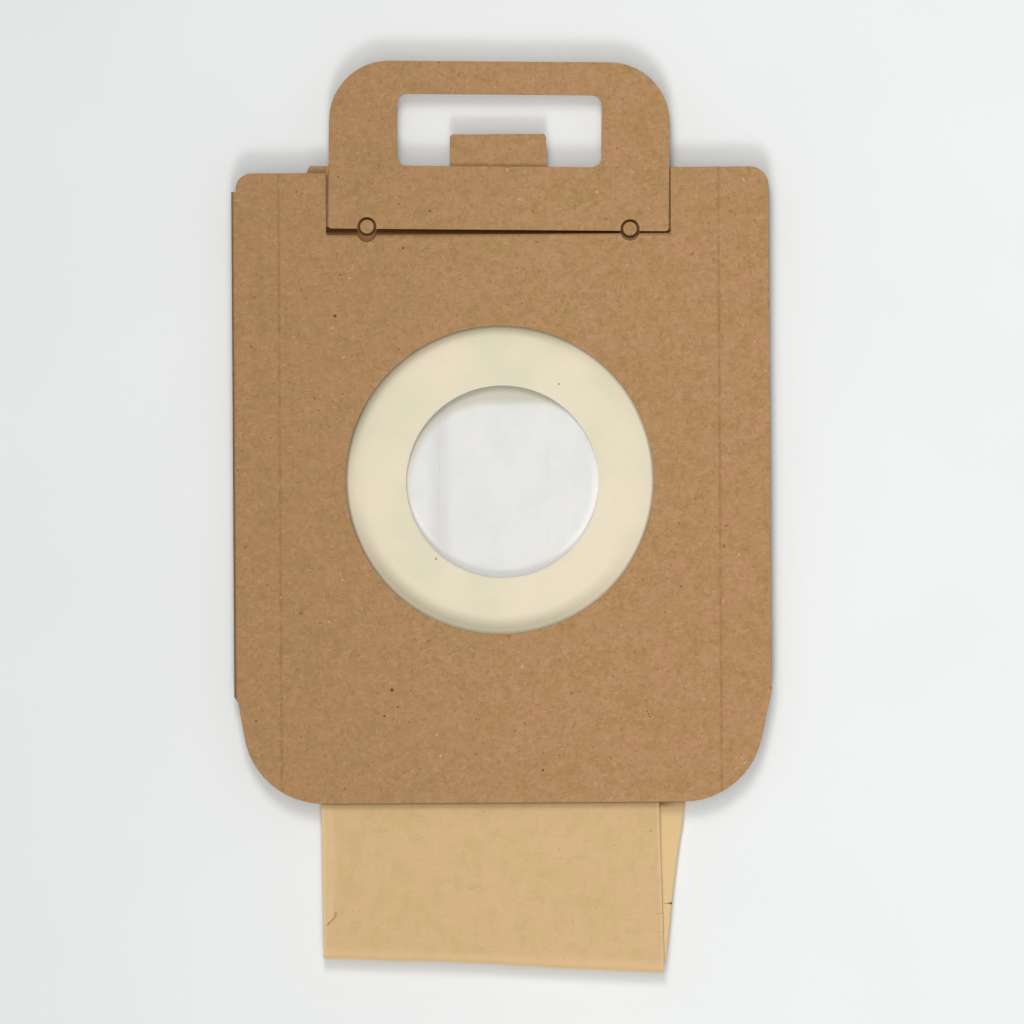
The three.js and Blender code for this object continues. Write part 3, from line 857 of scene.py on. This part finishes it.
# Short ticks and a speck on the paper, and the dark rim of the nick
ticks = [
    *photo_stroke((656, 914.2), (663, 913.5), 0.16 * mm, 8),
    *photo_stroke((656, 932.5), (663, 932), 0.12 * mm, 5),
    (*photo_place(651, 831), 0.4 * mm),
    *photo_stroke((664.5, 904), (667, 904), 0.22 * mm, 3),
]
brown = paper.tint(paper.spots(ticks) * 0.5, brown, shade(136, 98, 58))
nick_marks = [(*photo_place(668.5, 904), 0.22 * mm), (*photo_place(670, 904), 0.34 * mm)]
nick_marks += [(*photo_place(671.5, 903.9), 0.42 * mm), (*photo_place(672.5, 903.8), 0.45 * mm)]
brown = paper.tint(paper.spots(nick_marks) * 0.85, brown, shade(64, 44, 24))
height = patch * 0.4 + grain * 0.3 + pale_shreds * 0.3 - dark_shreds * 0.2 - crease * 1.2
paper.paint(brown, 0.78 + grain * 0.1, height, 0.04 * mm)
paper.shader.inputs["Specular IOR Level"].default_value = 0.2
bag = paper_tube("folded_paper_bag", 0, 0, end_seam, paper.material)
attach(bag, "root")
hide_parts("paper_bag")

# Lining
# The white inner ply of the bag, a tube nested in the brown one with a hair's gap all round.
# It shows only through the inlet.
lining_seam = 2 * mm
white = Finish("white_lining_paper")
cloud = white.noise(7 * mm, 3)
crepe = white.noise(1.2 * mm, 2, 0.5, 4)
pale = white.tint(cloud.rise(0.35, 0.65), shade(227, 228, 224), shade(232, 231, 228))
pale = white.tint(crepe.rise(0.5, 0.75) * 0.4, pale, shade(225, 226, 221))

# Painted shadow darkens and yellows the paper under the seal's upper lip, down to a straight edge and round
# the left side, painted shade marks the fold of the left gusset, and painted light brightens it along the
# lower half of the lip
unshaded = photo_place(515, 490)
unshaded_half_width = 26 * mm
unshaded_half_height = 21.75 * mm
unshaded_corner = 20 * mm
beyond_x = (abs(white.across - unshaded[0]) - unshaded_half_width + unshaded_corner).larger(0)
beyond_y = ((white.along - unshaded[1]) - unshaded_half_height + unshaded_corner).larger(0)
beyond = (beyond_x * beyond_x + beyond_y * beyond_y).root() - unshaded_corner
pale = white.tint(beyond.rise(-1.2 * mm, 1.2 * mm) * 0.8, pale, shade(203, 198, 178))
crease_x = photo_place(439.5, 480)[0]
crease = abs(white.across - crease_x).rise(3.8 * mm, 0.4 * mm)
pale = white.tint(crease * (cloud.rise(0.3, 0.6) * 0.5 + 0.5) * 0.4, pale, shade(204, 200, 198))
from_lip = seal_hole_radius - white.across.to(inlet_x + seal_hole_x, inlet_y + seal_hole_y)
lit = from_lip.rise(2.4 * mm, 0.4 * mm) * white.along.rise(inlet_y + 10 * mm, inlet_y - 4 * mm)
lit = lit * (white.across.rise(inlet_x - 24 * mm, inlet_x - 12 * mm) * 0.6 + 0.4)
pale = white.tint(lit * 0.85, pale, shade(252, 249, 246))
white.paint(pale, 0.9, cloud * 0.6 + crepe * 0.4, 0.06 * mm)
white.shader.inputs["Specular IOR Level"].default_value = 0.1
lining = paper_tube("paper_lining", ply + ply_gap, end_seam + ply_gap, lining_seam, white.material)
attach(lining, "root")
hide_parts("bag_lining")

# Ground and light
# A plain pale floor, with a soft lamp beyond the head of the bag, one beyond its foot and one straight above.
# Each lamp gives its share of the light that falls on the floor, and an even sky gives the rest.
floor_reach = 3.0
floor_sink = 0.02 * mm
floor_corners = [
    (-floor_reach, -floor_reach, -floor_sink),
    (floor_reach, -floor_reach, -floor_sink),
    (floor_reach, floor_reach, -floor_sink),
    (-floor_reach, floor_reach, -floor_sink),
]
ground_mesh = bpy.data.meshes.new("pale_floor")
ground_mesh.from_pydata(floor_corners, [], [(0, 1, 2, 3)])
ground = bpy.data.objects.new("pale_floor", ground_mesh)
bpy.context.collection.objects.link(ground)
floor_finish = Finish("pale_floor")
cloud = floor_finish.noise(60 * mm, 2)
pale = floor_finish.tint(cloud.rise(0.3, 0.7), shade(236, 238, 237), shade(238, 240, 239))
floor_finish.set(floor_finish.shader.inputs["Base Color"], pale)
floor_finish.shader.inputs["Roughness"].default_value = 0.9
floor_finish.shader.inputs["Specular IOR Level"].default_value = 0.0
ground_mesh.materials.append(floor_finish.material)


def soft_lamp(name, turn, height, size, share):
    """A square lamp that faces a spot right of the bag. Its turn from +Y and its height are in degrees."""
    turn = math.radians(turn)
    height = math.radians(height)
    flat = lamp_distance * math.cos(height)
    place = Vector((flat * math.sin(turn), flat * math.cos(turn), lamp_distance * math.sin(height)))
    facing = (Vector((lamp_aim, 0, 0)) - place).normalized()
    data = bpy.data.lights.new(name, "AREA")
    data.shape = "SQUARE"
    data.size = size
    slant = math.sin(height) * facing.dot(-place.normalized())
    data.energy = share * (math.pi * lamp_distance) ** 2 / slant
    lamp = bpy.data.objects.new(name, data)
    lamp.location = place
    lamp.rotation_euler = facing.to_track_quat("-Z", "Y").to_euler()
    bpy.context.collection.objects.link(lamp)


lamp_distance = 1.2
lamp_aim = 1.2
sky_strength = 0.27
soft_lamp("head_lamp", -6, 65, 0.34, 0.25)
soft_lamp("foot_lamp", 180, 58.5, 0.36, 0.25)
soft_lamp("top_lamp", 0, 90, 0.8, 0.24)
sky = bpy.data.worlds.new("sky")
sky.use_nodes = True
sky.node_tree.nodes["Background"].inputs["Color"].default_value = (1, 1, 1, 1)
sky.node_tree.nodes["Background"].inputs["Strength"].default_value = sky_strength
bpy.context.scene.world = sky
bpy.context.scene.view_settings.view_transform = "Standard"
